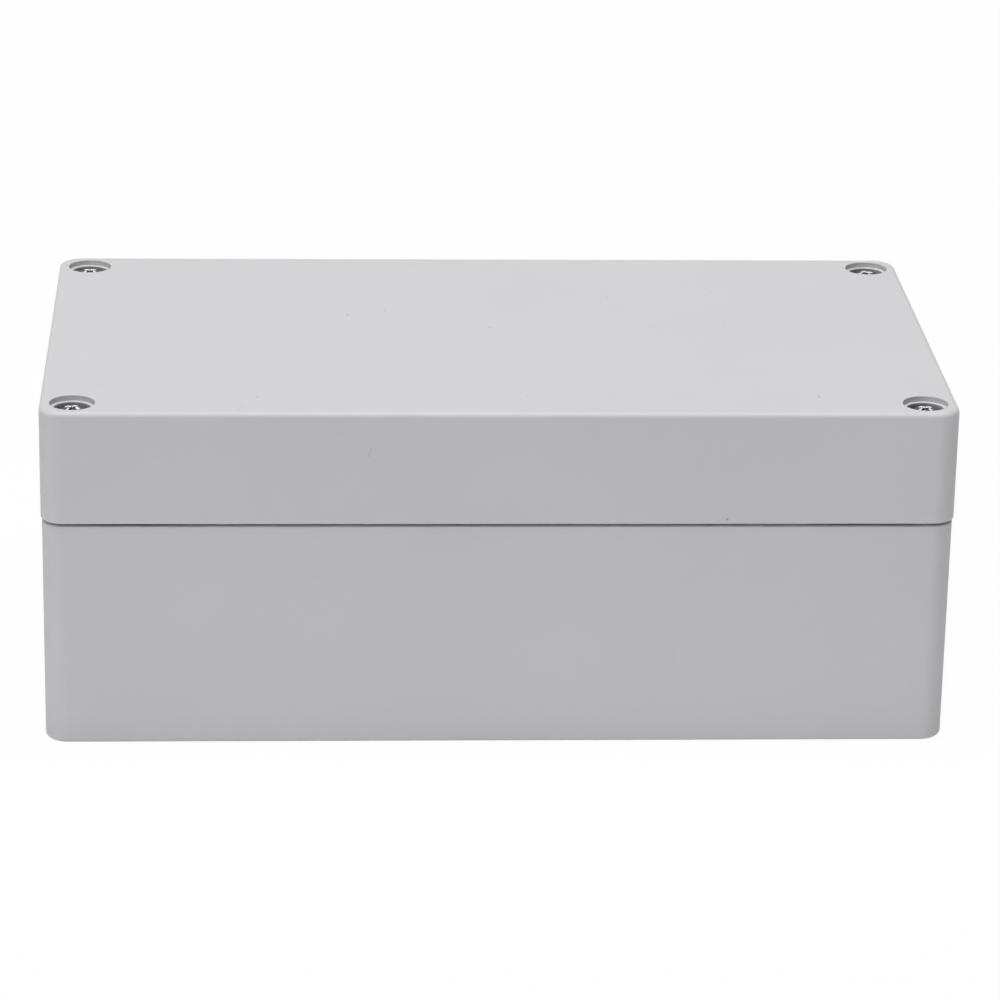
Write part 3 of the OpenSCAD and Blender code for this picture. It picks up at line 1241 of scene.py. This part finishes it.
@dataclass
class SoftenedPiece:
    """A small piece that keeps its solid's form, with its edges rounded."""

    node: str
    body: str
    slot: Slot
    finish: Finish
    edge_softening: float
    edge_steps: int = 3
    sharpest: float = 40.0
    shading_angle: float = 35.0

    def build(self, cad: bpy.types.Object) -> bpy.types.Object:
        """Make the piece from its solid.

        Args:
            cad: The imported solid.

        Returns:
            The dressed piece.
        """
        piece = Bench.merged_twin(cad, f"{self.node}_soft")
        Bench.soften(piece, self.edge_softening, self.edge_steps, self.sharpest)
        Bench.smooth(piece, self.shading_angle)
        self.finish.dress(piece)
        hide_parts(self.node)
        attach(piece, self.body)
        return piece


# --- Studio -------------------------------------------------------------------


@dataclass
class SoftLamp:
    """A square soft lamp that faces the box."""

    name: str
    place: tuple[float, float, float]
    width: float
    power: float
    aim: tuple[float, float, float] = (0.0, 0.0, 0.03)

    def build(self) -> bpy.types.Object:
        """Hang the lamp and turn it to the box.

        Returns:
            The lamp.
        """
        data = bpy.data.lights.new(self.name, "AREA")
        data.shape = "SQUARE"
        data.size = self.width
        data.energy = self.power
        lamp = bpy.data.objects.new(self.name, data)
        bpy.context.scene.collection.objects.link(lamp)
        lamp.location = self.place
        beam = Vector(self.aim) - Vector(self.place)
        lamp.rotation_mode = "QUATERNION"
        lamp.rotation_quaternion = beam.to_track_quat("-Z", "Y")
        return lamp


@dataclass
class Studio:
    """Pale floor, white surroundings, soft lamps and the camera."""

    floor_size: float = 6.0
    floor_gap: float = 0.05 * MM
    floor_tone: Colour = (0.90, 0.90, 0.90, 1.0)
    floor_glow: float = 0.96
    eye: tuple[float, float, float] = (-0.0402, -0.7345, 0.3001)
    tilt_down: float = 20.25
    turn_right: float = 3.32
    roll: float = 1.14
    lens: float = 154.4
    sensor: float = 36.0
    nearest: float = 0.01
    lamps: tuple[SoftLamp, ...] = (
        SoftLamp("lamp_top", (0.0, -0.05, 1.30), 0.7, 16.0),
        SoftLamp("lamp_front", (0.0, -1.30, 0.10), 0.4, 4.1),
        SoftLamp("lamp_left", (-1.40, -0.50, 0.70), 1.0, 6.4),
    )

    def floor(self) -> bpy.types.Object:
        """Lay the floor: it keeps the box's shadow, and looks nearly white.

        Returns:
            The floor.
        """
        Bench.clear()
        bpy.ops.mesh.primitive_plane_add(size=self.floor_size, location=(0.0, 0.0, -self.floor_gap))
        floor = bpy.context.object
        Bench.settle(floor)
        floor.name = "studio_floor"
        material = bpy.data.materials.new("studio_floor")
        material.use_nodes = True
        board = ShaderBoard(material.node_tree)
        paper = board.add("ShaderNodeBsdfDiffuse", {"Color": self.floor_tone})
        glow = board.add("ShaderNodeEmission", {"Color": WHITE, "Strength": 1.0})
        mix = board.add("ShaderNodeMixShader")
        output = board.add("ShaderNodeOutputMaterial")
        board.link(board.math("MULTIPLY", board.direct_sight(), self.floor_glow), mix.inputs[0])
        board.link(paper.outputs[0], mix.inputs[1])
        board.link(glow.outputs[0], mix.inputs[2])
        board.link(mix.outputs[0], output.inputs["Surface"])
        floor.data.materials.append(material)
        return floor

    def sky(self) -> None:
        """Make the surroundings look white. They give no light: the lamps do."""
        world = bpy.data.worlds.new("studio")
        bpy.context.scene.world = world
        world.use_nodes = True
        board = ShaderBoard(world.node_tree)
        dark = board.add("ShaderNodeBackground", {"Color": WHITE, "Strength": 0.0})
        white = board.add("ShaderNodeBackground", {"Color": WHITE, "Strength": 1.0})
        mix = board.add("ShaderNodeMixShader")
        output = board.add("ShaderNodeOutputWorld")
        board.link(board.direct_sight(), mix.inputs[0])
        board.link(dark.outputs[0], mix.inputs[1])
        board.link(white.outputs[0], mix.inputs[2])
        board.link(mix.outputs[0], output.inputs["Surface"])

    def camera(self) -> bpy.types.Object:
        """Set the camera a little left of the box, looking down on it.

        Returns:
            The camera.
        """
        data = bpy.data.cameras.new("camera")
        data.lens = self.lens
        data.sensor_width = self.sensor
        data.clip_start = self.nearest
        camera = bpy.data.objects.new("camera", data)
        bpy.context.scene.collection.objects.link(camera)
        turn = Matrix.Rotation(-math.radians(self.turn_right), 4, "Z")
        tilt = Matrix.Rotation(math.radians(90.0 - self.tilt_down), 4, "X")
        roll = Matrix.Rotation(math.radians(self.roll), 4, "Z")
        camera.matrix_world = Matrix.Translation(self.eye) @ turn @ tilt @ roll
        bpy.context.scene.camera = camera
        return camera

    def build(self) -> None:
        """Set up the whole studio."""
        bpy.context.scene.view_settings.view_transform = "Standard"
        self.floor()
        self.sky()
        self.camera()
        for lamp in self.lamps:
            lamp.build()


@dataclass
class ProjectBox:
    """The whole box, piece by piece."""

    nodes: dict[str, bpy.types.Object]
    cross_turns: dict[Corner, float] = field(
        default_factory=lambda: {
            Corner.FRONT_LEFT: 58.0,
            Corner.FRONT_RIGHT: 40.0,
            Corner.BACK_LEFT: 45.0,
            Corner.BACK_RIGHT: 20.0,
        }
    )

    def shells(self) -> list[bpy.types.Object]:
        """Make the base and the lid.

        Returns:
            Both mouldings.
        """
        return [
            ShellMoulding("base", "base").build(self.nodes["base"]),
            ShellMoulding("lid", "lid").build(self.nodes["lid"]),
        ]

    def rim_and_washers(self) -> list[bpy.types.Object]:
        """Make the gasket and the four retaining washers.

        Returns:
            The gasket, then the washers.
        """
        pieces = [
            SoftenedPiece("gasket", "lid", Slot.GASKET, SealRubber(), 0.3 * MM).build(self.nodes["gasket"]),
        ]
        for corner in Corner:
            node = f"retaining_washer_{corner.value}"
            washer = SoftenedPiece(node, f"washer_{corner.value}", Slot.WASHER, NaturalNylon(), 0.15 * MM)
            pieces.append(washer.build(self.nodes[node]))
        return pieces

    def fasteners(self) -> list[bpy.types.Object]:
        """Make the four screws and the four inserts.

        Returns:
            Screw and insert of each corner in turn.
        """
        screw, insert = LidScrew(), ThreadedInsert()
        screw_model, insert_model = screw.model(), insert.model()
        pieces = []
        for corner in Corner:
            pieces.append(screw.build(corner, self.cross_turns[corner], screw_model))
            pieces.append(insert.build(corner, insert_model))
        for model in (screw_model, insert_model):
            bpy.data.objects.remove(model)
        return pieces

    def build(self) -> None:
        """Build every piece and report it."""
        for piece in self.shells() + self.rim_and_washers() + self.fasteners():
            LOG.info("%s: %d faces", piece.name, len(piece.data.polygons))


def main() -> None:
    """Load the frame, and build the box and the studio."""
    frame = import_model()
    ProjectBox(frame["nodes"]).build()
    Studio().build()


if __name__ == "__main__":
    logging.basicConfig(level=logging.INFO, format="%(message)s")
    main()
